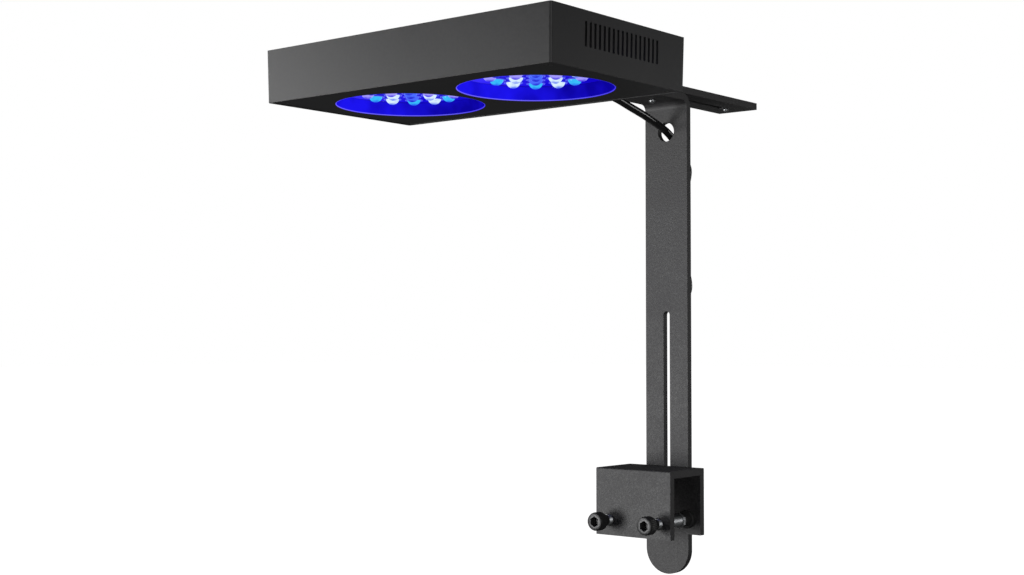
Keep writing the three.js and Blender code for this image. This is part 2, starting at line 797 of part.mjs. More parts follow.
const RIGHT_RUN_X = HANK.x + HANK.endX;
const HANK_FIRST_Y = HANK.front + LEAD_R;

// from the gland, down through the post's cable hole, to the top of the hank
const LEAD_ROUTE = [
  [0, GLAND.tip + GAP, 266.5],
  [0, -102, 267],
  [0, -88, 267.5],
  [0, -68.5, 267.4],
  [0, -54, 266.4],
  [0, -40.5, 264.6],
  [0, -25, 261],
  [0, -6.6, 256.8],
  [0, 8, 252.8],
  [0, 18, 249.7],
  [0, 24.5, 247],
  [0.1, 30.2, 243.4],
  [0.1, 33.4, 239.3],
  [RIGHT_RUN_X, HANK_FIRST_Y, 233.9],
];

/** The last turn: down the hank's right side, round its lower end, and up the left to the plug. */
function leadTail() {
  const y = HANK_BACK + GAP + LEAD_R;
  const top = HANK_MIDDLE + HANK_RUN - 4;
  const points = [];
  const runSteps = 8;
  for (let i = 0; i <= runSteps; i += 1) {
    const z = THREE.MathUtils.lerp(top, HANK_MIDDLE - HANK_RUN, i / runSteps);
    points.push([HANK.x + hankSpread(z - HANK_MIDDLE), y, z]);
  }
  const foldSteps = 6;
  for (let i = 1; i <= foldSteps; i += 1) {
    const angle = (-Math.PI * i) / foldSteps;
    points.push([
      HANK.x + HANK.endX * Math.cos(angle),
      y,
      HANK_MIDDLE - HANK_RUN + HANK.endX * Math.sin(angle),
    ]);
  }
  const end = PLUG.low - 2 * GAP;
  const straight = end - 3;
  for (let i = 1; i <= runSteps; i += 1) {
    const z = THREE.MathUtils.lerp(HANK_MIDDLE - HANK_RUN, straight, i / runSteps);
    const lift = (PLUG.y - y) * THREE.MathUtils.smoothstep(z, HANK_MIDDLE + TIE.halfZ, straight);
    points.push([HANK.x - hankSpread(z - HANK_MIDDLE), y + lift, z]);
  }
  points.push([PLUG.x, PLUG.y, end]);
  return tube(points, 44);
}

function plugBody() {
  const { low, relief, body, bodyR } = PLUG;
  return turned([
    [0, low],
    [LEAD_R + 0.5, low],
    [LEAD_R + 1.4, low + relief],
    [bodyR - 0.6, low + relief + 0.6],
    [bodyR, low + relief + 1.4],
    [bodyR, low + relief + body - 1],
    [bodyR - 0.8, low + relief + body],
    [0, low + relief + body],
  ], 18);
}

function plugBarrel() {
  const { low, relief, body, barrelR, barrel } = PLUG;
  const base = low + relief + body + GAP;
  return cut(rod(barrelR, base, base + barrel, 20), rod(1.25, base + 1, base + barrel + 1, 14));
}

place("cable_gland", gland(), FINISH.rubber, 0, 0, GLAND.z);
place("power_lead", tube(LEAD_ROUTE, 28), FINISH.cable);
place("lead_hank", leadHank(), FINISH.cable, HANK.x, 0, 0);
place("lead_tail", leadTail(), FINISH.cable);
place("hank_tie", hankTie(), FINISH.rubber, HANK.x, 0, 0);
place("plug_body", plugBody(), FINISH.rubber, PLUG.x, PLUG.y, 0);
place("plug_barrel", plugBarrel(), FINISH.steel, PLUG.x, PLUG.y, 0);

export default object;
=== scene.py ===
"""A two-window LED aquarium light on an adjustable post and a rim clamp.

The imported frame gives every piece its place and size. This script makes the
surfaces over it: edge-rounded plate, powder coat, knurled and threaded screws,
lit lens domes in blue wells, and the power lead with its plug.
"""

import logging
import math
from collections.abc import Callable, Sequence
from dataclasses import dataclass
from enum import Enum

import bmesh
import bpy
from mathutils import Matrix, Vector


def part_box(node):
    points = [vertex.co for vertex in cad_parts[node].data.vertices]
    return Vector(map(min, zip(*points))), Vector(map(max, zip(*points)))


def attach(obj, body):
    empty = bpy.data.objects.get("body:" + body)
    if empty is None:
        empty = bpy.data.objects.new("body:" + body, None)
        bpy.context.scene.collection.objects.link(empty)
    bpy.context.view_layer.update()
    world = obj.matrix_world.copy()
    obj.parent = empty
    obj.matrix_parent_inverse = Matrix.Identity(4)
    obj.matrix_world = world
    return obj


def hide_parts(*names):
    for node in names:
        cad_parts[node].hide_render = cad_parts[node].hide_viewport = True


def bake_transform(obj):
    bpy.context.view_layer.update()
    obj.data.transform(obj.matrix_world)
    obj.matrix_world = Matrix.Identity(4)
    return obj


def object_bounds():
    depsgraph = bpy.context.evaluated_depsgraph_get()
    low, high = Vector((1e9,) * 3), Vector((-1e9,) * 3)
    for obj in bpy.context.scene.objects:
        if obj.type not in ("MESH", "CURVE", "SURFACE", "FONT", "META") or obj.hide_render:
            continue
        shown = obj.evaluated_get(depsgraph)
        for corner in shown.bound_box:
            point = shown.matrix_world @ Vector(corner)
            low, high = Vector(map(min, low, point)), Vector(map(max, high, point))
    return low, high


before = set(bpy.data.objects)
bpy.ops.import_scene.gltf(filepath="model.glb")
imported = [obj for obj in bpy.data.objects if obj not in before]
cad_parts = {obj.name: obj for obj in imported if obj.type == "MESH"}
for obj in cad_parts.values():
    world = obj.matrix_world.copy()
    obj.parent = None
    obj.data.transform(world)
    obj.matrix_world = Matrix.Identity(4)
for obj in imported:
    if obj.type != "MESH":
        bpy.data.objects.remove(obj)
CAD_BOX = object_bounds()

log = logging.getLogger("aquarium_light")
MM = 0.001
AIR = 0.05  # millimetres left between two finely made pieces that touch
CRISP_ANGLE = 34.0  # degrees; an edge that turns more than this stays crisp or is rounded
FLAT_ANGLE = 0.6  # degrees; faces that differ by less than this are one flat face

Radius = Callable[[float, float], float]
RingStack = Sequence[tuple[Radius, float]]


def linear(code: str) -> tuple[float, float, float, float]:
    """Turn an sRGB hex colour into linear light.

    Args:
        code: The colour as "#rrggbb".

    Returns:
        Red, green, blue and a full alpha.
    """
    shares = [int(code[i : i + 2], 16) / 255 for i in (1, 3, 5)]
    red, green, blue = (
        s / 12.92 if s <= 0.04045 else ((s + 0.055) / 1.055) ** 2.4 for s in shares
    )
    return red, green, blue, 1.0


def add_node(
    tree: bpy.types.NodeTree,
    kind: str,
    inputs: dict[str | int, object] | None = None,
    **settings: object,
) -> bpy.types.Node:
    """Add one shader node, with its settings, its values and its links.

    Args:
        tree: The node tree that takes the node.
        kind: The node's type name.
        inputs: Socket name or number to a value, or to an output socket to link.
        **settings: Properties of the node itself.

    Returns:
        The new node.
    """
    node = tree.nodes.new(kind)
    for name, value in settings.items():
        setattr(node, name, value)
    for key, value in (inputs or {}).items():
        socket = node.inputs[key]
        if isinstance(value, bpy.types.NodeSocket):
            tree.links.new(value, socket)
        else:
            socket.default_value = value
    return node


# ------------------------------------------------------------------ finishes


@dataclass(frozen=True)
class Coat:
    """A painted, moulded, plated or bare surface with a grain of its own.

    One noise at the grain's size sets the height, the gloss and a slight change
    of colour. A second, much larger one makes the cloudiness of a handled surface.
    """

    name: str
    slot: str
    dark: str
    light: str
    roughness: tuple[float, float]
    grain: float  # millimetres from one grain to the next
    relief: float  # millimetres of height
    metallic: float = 0.0
    ior: float = 1.5
    stretch: tuple[float, float, float] = (1.0, 1.0, 1.0)
    cloud: float = 35.0  # millimetres

    def material(self) -> bpy.types.Material:
        """Return the finish as a material, made once."""
        return bpy.data.materials.get(self.name) or self._build()

    def _build(self) -> bpy.types.Material:
        """Make the node tree.

        Returns:
            The new material.
        """
        material = bpy.data.materials.new(self.name)
        material.use_nodes = True
        tree = material.node_tree
        shader = tree.nodes["Principled BSDF"]
        place = add_node(tree, "ShaderNodeTexCoord").outputs["Object"]
        spread = add_node(
            tree, "ShaderNodeMapping", {"Vector": place, "Scale": self.stretch}
        ).outputs[0]
        grain = add_node(
            tree,
            "ShaderNodeTexNoise",
            {"Vector": spread, "Scale": 1 / (self.grain * MM), "Detail": 2.0, "Roughness": 0.6},
        ).outputs[0]
        cloud = add_node(
            tree,
            "ShaderNodeTexNoise",
            {"Vector": place, "Scale": 1 / (self.cloud * MM), "Detail": 3.0},
        ).outputs[0]
        both = add_node(
            tree, "ShaderNodeMix", {0: 0.35, 2: grain, 3: cloud}, data_type="FLOAT"
        ).outputs[0]
        tint = add_node(
            tree,
            "ShaderNodeMapRange",
            {"Value": both, "From Min": 0.38, "From Max": 0.62},
        ).outputs[0]
        colour = add_node(
            tree,
            "ShaderNodeMix",
            {0: tint, 6: linear(self.dark), 7: linear(self.light)},
            data_type="RGBA",
        ).outputs[2]
        gloss = add_node(
            tree,
            "ShaderNodeMapRange",
            {
                "Value": both,
                "From Min": 0.35,
                "From Max": 0.65,
                "To Min": self.roughness[0],
                "To Max": self.roughness[1],
            },
        ).outputs[0]
        bump = add_node(
            tree,
            "ShaderNodeBump",
            {"Height": grain, "Distance": self.relief * MM, "Strength": 1.0},
        ).outputs[0]
        tree.links.new(colour, shader.inputs["Base Color"])
        tree.links.new(gloss, shader.inputs["Roughness"])
        tree.links.new(bump, shader.inputs["Normal"])
        shader.inputs["Metallic"].default_value = self.metallic
        shader.inputs["IOR"].default_value = self.ior
        return material


class Across(Enum):
    """The axis along which a lit surface changes from deep to bright."""

    X = 0
    Y = 1
    Z = 2


@dataclass(frozen=True)
class Glow:
    """Plastic lit by the diodes behind or beside it, gloss over its own light.

    The glow runs from a deep to a bright colour between two places along an axis,
    broken up by a slow noise so that it isn't a clean ramp.
    """

    name: str
    slot: str
    deep: str
    bright: str
    across: Across
    start: float  # millimetres, where it is deep
    end: float  # millimetres, where it is bright
    strength: float = 1.0
    mottle: float = 0.3
    patch: float = 9.0  # millimetres
    roughness: float = 0.2
    specular: float = 0.5
    ior: float = 1.49

    def material(self) -> bpy.types.Material:
        """Return the finish as a material, made once."""
        return bpy.data.materials.get(self.name) or self._build()

    def _build(self) -> bpy.types.Material:
        """Make the node tree.

        Returns:
            The new material.
        """
        material = bpy.data.materials.new(self.name)
        material.use_nodes = True
        tree = material.node_tree
        shader = tree.nodes["Principled BSDF"]
        place = add_node(tree, "ShaderNodeTexCoord").outputs["Object"]
        axes = add_node(tree, "ShaderNodeSeparateXYZ", {0: place})
        ramp = add_node(
            tree,
            "ShaderNodeMapRange",
            {
                "Value": axes.outputs[self.across.value],
                "From Min": self.start * MM,
                "From Max": self.end * MM,
            },
        ).outputs[0]
        patches = add_node(
            tree,
            "ShaderNodeTexNoise",
            {"Vector": place, "Scale": 1 / (self.patch * MM), "Detail": 2.0},
        ).outputs[0]
        shift = add_node(
            tree,
            "ShaderNodeMapRange",
            {
                "Value": patches,
                "From Min": 0.3,
                "From Max": 0.7,
                "To Min": -self.mottle,
                "To Max": self.mottle,
            },
        ).outputs[0]
        share = add_node(
            tree, "ShaderNodeMath", {0: ramp, 1: shift}, operation="ADD", use_clamp=True
        ).outputs[0]
        colour = add_node(
            tree,
            "ShaderNodeMix",
            {0: share, 6: linear(self.deep), 7: linear(self.bright)},
            data_type="RGBA",
        ).outputs[2]
        tree.links.new(colour, shader.inputs["Emission Color"])
        shader.inputs["Emission Strength"].default_value = self.strength
        shader.inputs["Base Color"].default_value = linear("#030210")
        shader.inputs["Roughness"].default_value = self.roughness
        shader.inputs["Specular IOR Level"].default_value = self.specular
        shader.inputs["IOR"].default_value = self.ior
        return material


# Polyester powder baked onto plate: matt, with the fine pebbled grain of the cured powder.
# The real grain is about 0.3 mm, drawn at 1.3 mm because a finer one doesn't show.
POWDER = Coat(
    "powder_coated_plate", "black_powder_coat", "#272728", "#403f40", (0.46, 0.66), 1.3, 0.2
)
# Sprayed satin enamel on the folded aluminium case: smoother, so the soft lights fade across it.
CASE_PAINT = Coat(
    "satin_enamel_case", "black_housing", "#222223", "#282829", (0.42, 0.5), 2.0, 0.02, cloud=60
)
# Hot black oxide on a forged screw: dark metal with a soft oily shine on its edges.
BLACK_OXIDE = Coat(
    "black_oxide_steel", "black_steel", "#343435", "#484848", (0.34, 0.48), 0.8, 0.01, 0.6
)
# Zinc plate on cold-formed steel: bright, with fine turning marks.
ZINC = Coat(
    "zinc_plated_steel", "bright_steel", "#a4a6a8", "#bec0c2", (0.4, 0.52), 0.5, 0.006, 1.0
)
# Moulded nitrile rubber: nearly black and dull, with a spark-eroded mould texture.
RUBBER = Coat(
    "moulded_rubber", "black_rubber", "#191919", "#242424", (0.62, 0.78), 0.9, 0.02, 0.0, 1.52
)
# Extruded PVC jacket: smooth along its length, so it takes one soft line of light.
JACKET = Coat(
    "extruded_pvc_jacket", "black_cable", "#161617", "#1d1d1e", (0.2, 0.28), 3.0, 0.01, 0.0, 1.56
)
# Glass-filled nylon, moulded: the fan frames and rotors, an even satin black.
NYLON = Coat(
    "moulded_nylon", "black_plastic", "#1a1a1b", "#222223", (0.45, 0.58), 1.0, 0.01, 0.0, 1.53
)
# Extruded aluminium, not painted: pale metal with drawn lines along its fins.
EXTRUDED = Coat(
    "extruded_aluminium", "bare_aluminium", "#c2c4c6", "#d8dadb", (0.28, 0.42), 0.6, 0.008, 1.0,
    stretch=(0.05, 1.0, 1.0),
)
# White solder mask over copper: a flat sheen that shows the board's weave faintly.
WHITE_MASK = Coat(
    "white_solder_mask", "white_board", "#dfe2e0", "#ededea", (0.3, 0.4), 0.7, 0.005, 0.0, 1.55
)
# Green solder mask: darker over bare board than over copper.
GREEN_MASK = Coat(
    "green_solder_mask", "green_board", "#143f22", "#1d5a2f", (0.25, 0.38), 2.0, 0.005, 0.0, 1.55
)


# -------------------------------------------------------------------- shapes


def box_mm(node: str) -> tuple[Vector, Vector]:
    """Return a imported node's lowest and highest corners, in millimetres."""
    low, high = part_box(node)
    return low / MM, high / MM


def disc(radius: float) -> Radius:
    """Return the outline of a circle."""
    return lambda angle, depth: radius


def hexagon(across_flats: float) -> Radius:
    """Return the outline of a regular hexagon, by its width across flats."""
    side = math.pi / 3

    def radius(angle: float, depth: float) -> float:
        """Give the distance to the flat at this angle."""
        return across_flats / 2 / math.cos((angle + side / 2) % side - side / 2)

    return radius


def chamfered_hexagon(across_flats: float, near: float, far: float) -> Radius:
    """Return a nut's outline, its corners turned off by a cone at each face.

    Args:
        across_flats: The nut's width across flats.
        near: The depth of one face.
        far: The depth of the other face.

    Returns:
        The outline by angle and depth.
    """
    flat = hexagon(across_flats)
    cone_slope = math.tan(math.radians(60))
    face_share = 0.95

    def radius(angle: float, depth: float) -> float:
        """Give the smaller of the hexagon and the cone."""
        inset = min(depth - near, far - depth)
        return min(flat(angle, depth), across_flats / 2 * face_share + inset * cone_slope)

    return radius


def knurled(radius: float, ridges: int, cut: float) -> Radius:
    """Return the outline of a straight knurl, its grooves cut to a depth."""

    def outline(angle: float, depth: float) -> float:
        """Give the radius, a triangle wave round the head."""
        phase = angle * ridges / (2 * math.pi) % 1
        return radius - cut * (1 - abs(2 * phase - 1))

    return outline


def threaded(major: float, pitch: float, cut: float) -> Radius:
    """Return the outline of a right-hand thread, by angle and depth."""

    def outline(angle: float, depth: float) -> float:
        """Give the radius on the helix."""
        phase = (depth / pitch - angle / (2 * math.pi)) % 1
        return major - cut * (1 - abs(2 * phase - 1))

    return outline


def rounded_block(half_x: float, half_y: float, power: float) -> Radius:
    """Return the outline of a rectangle whose corners are softly rounded."""

    def outline(angle: float, depth: float) -> float:
        """Give the radius of the superellipse."""
        share_x = abs(math.cos(angle) / half_x) ** power
        share_y = abs(math.sin(angle) / half_y) ** power
        return (share_x + share_y) ** (-1 / power)

    return outline


class Facing(Enum):
    """The way a turned piece's face looks; its depth grows the other way."""

    NEAR = (0, 1, 0)
    FAR = (0, -1, 0)
    DOWN = (0, 0, 1)
    UP = (0, 0, -1)

    def point(self, origin: Vector, radius: float, angle: float, depth: float) -> Vector:
        """Give one point of a turned piece.

        Args:
            origin: The middle of the piece's face.
            radius: The distance from the axis.
            angle: The turn about the axis.
            depth: The distance behind the face.

        Returns:
            The point, in millimetres.
        """
        axis = Vector(self.value)
        second = Vector((0, 0, 1)) if axis.y else Vector((0, 1, 0))
        across = Vector((math.cos(angle), 0, 0)) + second * math.sin(angle)
        return origin + across * radius + axis * depth


def mesh_piece(name: str, points: Sequence[Vector], faces: Sequence[Sequence[int]],
               sharp_angle: float = CRISP_ANGLE) -> bpy.types.Object:
    """Make one closed mesh object, its normals outward and its edges smoothed.

    Args:
        name: The piece's name.
        points: The corners, in millimetres.
        faces: The corners of each face, by number.
        sharp_angle: Edges that turn more than this many degrees stay crisp.

    Returns:
        The new object.
    """
    mesh = bpy.data.meshes.new(name)
    mesh.from_pydata([point * MM for point in points], [], faces)
    work = bmesh.new()
    work.from_mesh(mesh)
    bmesh.ops.recalc_face_normals(work, faces=work.faces)
    work.to_mesh(mesh)
    work.free()
    mesh.polygons.foreach_set("use_smooth", [True] * len(mesh.polygons))
    mesh.set_sharp_from_angle(angle=math.radians(sharp_angle))
    piece = bpy.data.objects.new(name, mesh)
    bpy.context.scene.collection.objects.link(piece)
    return piece


def skin(rings: int, around: int, hollow: bool) -> list[tuple[int, ...]]:
    """List the faces over equal rings of points.

    Args:
        rings: How many rings there are.
        around: How many points each ring has.
        hollow: Whether the last ring joins the first, as round a bore. If not,
            the two points after the rings are the middles of the end caps.

    Returns:
        The faces, by point number.
    """
    faces: list[tuple[int, ...]] = []
    for ring in range(rings if hollow else rings - 1):
        above = (ring + 1) % rings
        for i in range(around):
            j = (i + 1) % around
            faces.append(
                (ring * around + i, ring * around + j, above * around + j, above * around + i)
            )
    if not hollow:
        first, last = rings * around, rings * around + 1
        top = (rings - 1) * around
        for i in range(around):
            j = (i + 1) % around
            faces.append((first, j, i))
            faces.append((last, top + i, top + j))
    return faces


def turned_piece(
    name: str,
    rings: RingStack,
    facing: Facing,
    origin: Vector,
    around: int = 48,
    hollow: bool = False,
) -> bpy.types.Object:
    """Make a turned or headed piece from a stack of outlines.

    Args:
        name: The piece's name.
        rings: Outline and depth of each ring, in order along the surface.
        facing: The way the piece's face looks.
        origin: The middle of its face, in millimetres.
        around: How many points each ring has.
        hollow: Whether the stack closes on itself round a bore.

    Returns:
        The new object.
    """
    points = [
        facing.point(origin, outline(angle, depth), angle, depth)
        for outline, depth in rings
        for angle in (2 * math.pi * i / around for i in range(around))
    ]
    if not hollow:
        points += [facing.point(origin, 0, 0, rings[i][1]) for i in (0, -1)]
    return mesh_piece(name, points, skin(len(rings), around, hollow))


def smooth_path(points: Sequence[Sequence[float]], spacing: float) -> list[Vector]:
    """Run one smooth curve through points, sampled at an even spacing.

    Args:
        points: The points to pass through, in millimetres.
        spacing: The distance between samples.

    Returns:
        The samples, ends included.
    """
    knots = [Vector(point) for point in points]
    knots = [2 * knots[0] - knots[1], *knots, 2 * knots[-1] - knots[-2]]
    samples = [knots[1]]
    for a, b, c, d in zip(knots, knots[1:], knots[2:], knots[3:]):
        gaps = [max((q - p).length ** 0.5, 1e-6) for p, q in ((a, b), (b, c), (c, d))]
        leave = ((b - a) / gaps[0] - (c - a) / (gaps[0] + gaps[1]) + (c - b) / gaps[1]) * gaps[1]
        arrive = ((c - b) / gaps[1] - (d - b) / (gaps[1] + gaps[2]) + (d - c) / gaps[2]) * gaps[1]
        steps = max(2, round((c - b).length / spacing))
        for i in range(1, steps + 1):
            t = i / steps
            samples.append(
                b * (2 * t**3 - 3 * t**2 + 1)
                + leave * (t**3 - 2 * t**2 + t)
                + c * (3 * t**2 - 2 * t**3)
                + arrive * (t**3 - t**2)
            )
    return samples


def tube_piece(name: str, path: Sequence[Vector], radius: float,
               around: int = 16) -> bpy.types.Object:
    """Sweep a round section along a path, closed by a flat cap at each end.

    Args:
        name: The piece's name.
        path: The centreline, in millimetres.
        radius: The section's radius.
        around: How many points the section has.

    Returns:
        The new object.
    """
    ahead = [
        (path[min(i + 1, len(path) - 1)] - path[max(i - 1, 0)]).normalized()
        for i in range(len(path))
    ]
    side = ahead[0].orthogonal().normalized()
    points: list[Vector] = []
    for place, along in zip(path, ahead):
        side = (side - along * side.dot(along)).normalized()
        other = along.cross(side)
        for i in range(around):
            angle = 2 * math.pi * i / around
            points.append(place + (side * math.cos(angle) + other * math.sin(angle)) * radius)
    points += [path[0], path[-1]]
    return mesh_piece(name, points, skin(len(path), around, hollow=False), sharp_angle=50)


def settle(
    piece: bpy.types.Object, body: str, finish: Coat | Glow, stands_for: Sequence[str] = ()
) -> bpy.types.Object:
    """Give a made piece its finish, its body and the nodes it stands for.

    Args:
        piece: The piece, in place.
        body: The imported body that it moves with.
        finish: Its finish.
        stands_for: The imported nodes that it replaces.

    Returns:
        The same piece.
    """
    piece.data.materials.append(finish.material())
    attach(piece, body)
    if stands_for:
        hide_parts(*stands_for)
    log.info("%s: %s, on %s", piece.name, finish.name, body)
    return piece


def dress(node: str, finish: Coat, edge: float) -> None:
    """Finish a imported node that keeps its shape, with its sharp edges rounded.

    Args:
        node: The node's name.
        finish: Its finish.
        edge: The radius of its edges, in millimetres.
    """
    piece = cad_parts[node]
    piece.data.materials.clear()
    piece.data.materials.append(finish.material())
    piece.data.polygons.foreach_set("use_smooth", [True] * len(piece.data.polygons))
    flatten = piece.modifiers.new("one_face_per_flat", "DECIMATE")
    flatten.decimate_type = "DISSOLVE"
    flatten.angle_limit = math.radians(FLAT_ANGLE)
    rounding = piece.modifiers.new("rounded_edges", "BEVEL")
    rounding.width = edge * MM
    rounding.segments = 2
    rounding.limit_method = "ANGLE"
    rounding.angle_limit = math.radians(CRISP_ANGLE)
    rounding.harden_normals = True
    rounding.miter_outer = "MITER_ARC"
    log.info("%s: %s, edges rounded by %.2f mm", node, finish.name, edge)


# ----------------------------------------------------------------- fasteners


class Head(Enum):
    """The shapes of screw head on the light."""

    CAP = "tall knurled cylinder"
    BUTTON = "low dome"
    FLAT = "countersunk cone"


@dataclass(frozen=True)
class SocketScrew:
    """A socket screw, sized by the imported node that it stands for."""

    node: str
    body: str
    head: Head
    facing: Facing
    finish: Coat
    head_radius: float
    head_depth: float
    shank_radius: float
    pitch: float
    socket: float  # width across its flats
    shank_finish: Coat | None = None
    # shoulder: plain shank in the head's dark finish; on the clamp screws it is painted shade, the
    # head's shadow on the thread.
    shoulder: float = 0.0  # millimetres of plain shank in the head's finish

    def build(self) -> None:
        """Make the head and the threaded shank, and settle both."""
        low, high = box_mm(self.node)
        middle = (low + high) / 2
        axis = Vector(self.facing.value)
        length = abs((high - low).dot(axis))
        face = middle - axis * length / 2
        head = turned_piece(
            f"{self.node}_head", self._head_rings(), self.facing, face, around=72
        )
        settle(head, self.body, self.finish, [self.node])
        shank = turned_piece(
            f"{self.node}_shank", self._shank_rings(length), self.facing, face, around=36
        )
        settle(shank, self.body, self.shank_finish or self.finish, [self.node])

    def _socket_rings(self) -> list[tuple[Radius, float]]:
        """List the rings from the socket's floor out to its mouth."""
        floor = self.head_depth * 0.55
        mouth = hexagon(self.socket)
        return [
            (hexagon(self.socket * 0.35), floor * 1.12),
            (mouth, floor),
            (mouth, 0.25),
            (hexagon(self.socket + 0.3), 0.0),
        ]

    def _head_rings(self) -> list[tuple[Radius, float]]:
        """List the head's rings, from its socket to its underside."""
        r, depth = self.head_radius, self.head_depth
        rings = self._socket_rings()
        if self.head is Head.CAP:
            grip = knurled(r, 36, r * 0.055)
            rings += [
                (disc(r * 0.86), 0.0),
                (disc(r * 0.91), r * 0.03),
                (disc(r * 0.935), r * 0.09),
                (grip, r * 0.2),
                (grip, depth - r * 0.14),
                (disc(r * 0.93), depth - r * 0.04),
                (disc(r * 0.88), depth),
            ]
            # The dark plain shoulder: on the clamp screws this is painted shade, the head's shadow
            # on the shank.
            if self.shoulder:
                end = depth + self.shoulder
                neck = self.shank_radius
                rings += [(disc(neck), depth + 0.02), (disc(neck), end - 0.4)]
                rings += [(disc(neck - 0.35), end), (disc(neck * 0.8), end)]
                return rings
        elif self.head is Head.BUTTON:
            flat = self.socket / math.sqrt(3) + 0.3
            for step in range(9):
                tilt = math.pi / 2 * step / 8
                rings.append(
                    (disc(flat + (r - flat) * math.sin(tilt)), (depth - 0.3) * (1 - math.cos(tilt)))
                )
            rings.append((disc(r), depth))
        else:
            rings += [(disc(r - 0.1), 0.0), (disc(r), 0.12), (disc(r), 0.25)]
            rings.append((disc(self.shank_radius + 0.05), depth))
        rings.append((disc(self.shank_radius * 0.8), depth))
        return rings

    def _shank_rings(self, length: float) -> list[tuple[Radius, float]]:
        """List the shank's rings, from the head to a chamfered tip."""
        cut = self.pitch * 0.45
        thread = threaded(self.shank_radius, self.pitch, cut)
        core = self.shank_radius - cut
        start = self.head_depth + self.shoulder + AIR
        first = start + self.pitch * 0.6
        last = length - self.pitch * 0.8
        steps = max(6, round((last - first) / self.pitch * 6))
        rings: list[tuple[Radius, float]] = [(disc(core), start), (disc(core), first - 0.1)]
        rings += [(thread, first + (last - first) * i / steps) for i in range(steps + 1)]
        rings += [(disc(core), last + 0.15), (disc(core * 0.9), length - AIR)]
        return rings


@dataclass(frozen=True)
class HexNut:
    """A chamfered hexagon nut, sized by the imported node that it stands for."""

    node: str
    body: str
    facing: Facing
    finish: Coat
    across_flats: float
    bore: float

    def build(self) -> None:
        """Make the nut round its bore, and settle it."""
        low, high = box_mm(self.node)
        middle = (low + high) / 2
        axis = Vector(self.facing.value)
        thickness = abs((high - low).dot(axis))
        outline = chamfered_hexagon(self.across_flats, 0, thickness)
        corner_share, steps = 0.17, 5
        shoulder = self.across_flats / 2 * corner_share
        depths = [shoulder * i / steps for i in range(steps + 1)]
        depths += [thickness - depth for depth in reversed(depths)]
        rings: list[tuple[Radius, float]] = [(disc(self.bore), 0.4), (disc(self.bore + 0.4), 0.0)]
        rings += [(outline, depth) for depth in depths]
        rings += [(disc(self.bore + 0.4), thickness), (disc(self.bore), thickness - 0.4)]
        face = middle - axis * thickness / 2
        nut = turned_piece(self.node + "_turned", rings, self.facing, face, 72, hollow=True)
        settle(nut, self.body, self.finish, [self.node])


@dataclass(frozen=True)
class Washer:
    """A stamped flat washer: one edge rolled over by the die, the other crisp."""

    node: str
    body: str
    facing: Facing
    finish: Coat
    bore: float

    def build(self) -> None:
        """Make the washer, and settle it."""
        low, high = box_mm(self.node)
        middle = (low + high) / 2
        axis = Vector(self.facing.value)
        thickness = abs((high - low).dot(axis))
        radius = (high.x - low.x) / 2
        rolled = 0.3
        rings = [
            (disc(self.bore), 0.1),
            (disc(self.bore + 0.1), 0.0),
            (disc(radius - rolled), 0.0),
            (disc(radius - rolled * 0.3), rolled * 0.3),
            (disc(radius), rolled),
            (disc(radius), thickness),
            (disc(self.bore), thickness),
        ]
        face = middle - axis * thickness / 2
        washer = turned_piece(self.node + "_stamped", rings, self.facing, face, 48, hollow=True)
        settle(washer, self.body, self.finish, [self.node])


# ---------------------------------------------------------------- assemblies


